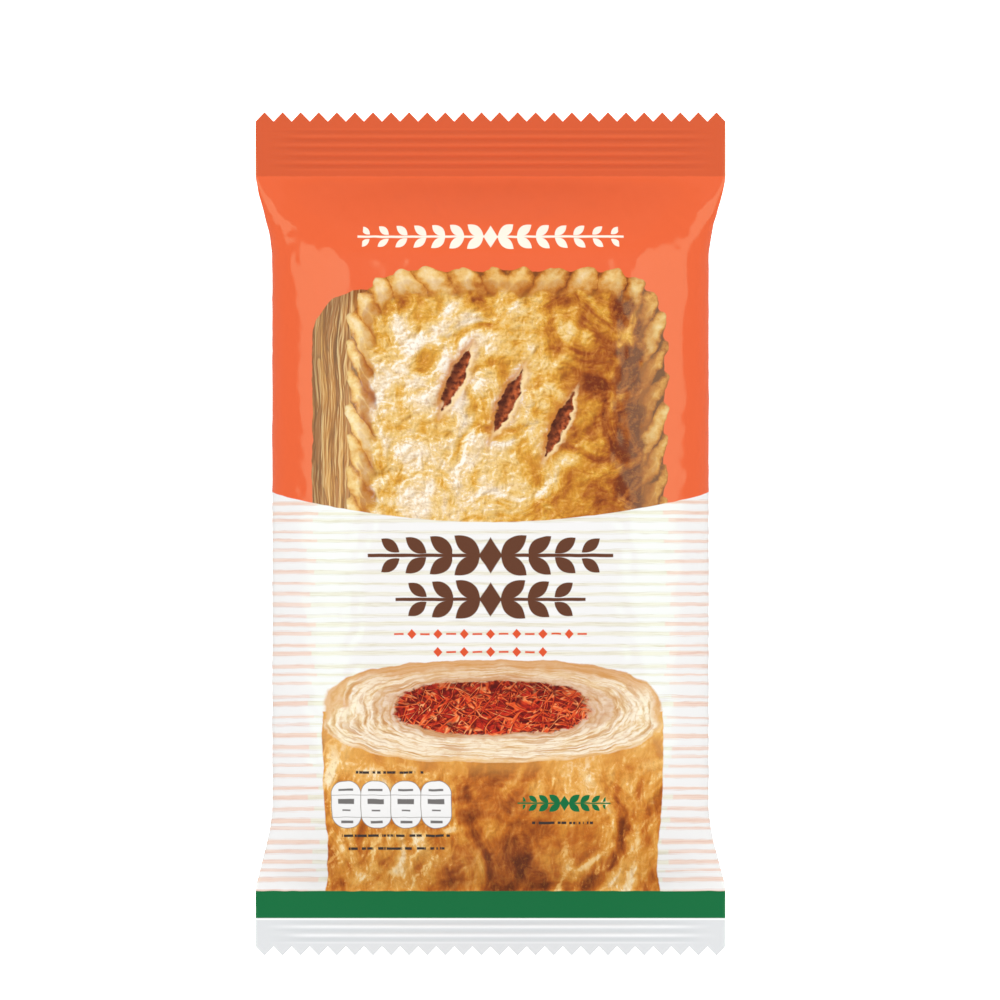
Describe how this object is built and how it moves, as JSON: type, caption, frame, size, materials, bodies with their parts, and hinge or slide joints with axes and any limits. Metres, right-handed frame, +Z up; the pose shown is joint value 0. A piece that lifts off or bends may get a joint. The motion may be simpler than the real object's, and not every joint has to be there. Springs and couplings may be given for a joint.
{
  "type": "sealed pastry flow pack",
  "caption": "Sealed pillow-shaped film pack for a savoury pastry: puffed body, crimped end seals with zigzag cuts, back seam folded flat, bright front print; lies on its back.",
  "frame": {"origin": "on the table under the middle of the pack, at the bottom centre of its box", "axes": "+X across the pack, +Y along it towards the head seal, +Z up through the printed front"},
  "size_m": [0.11, 0.1976, 0.0279],
  "materials": {
    "printed_film": "glossy printed packaging film"
  },
  "bodies": {
    "root": {"film_pack": "printed_film"}
  },
  "joints": []
}
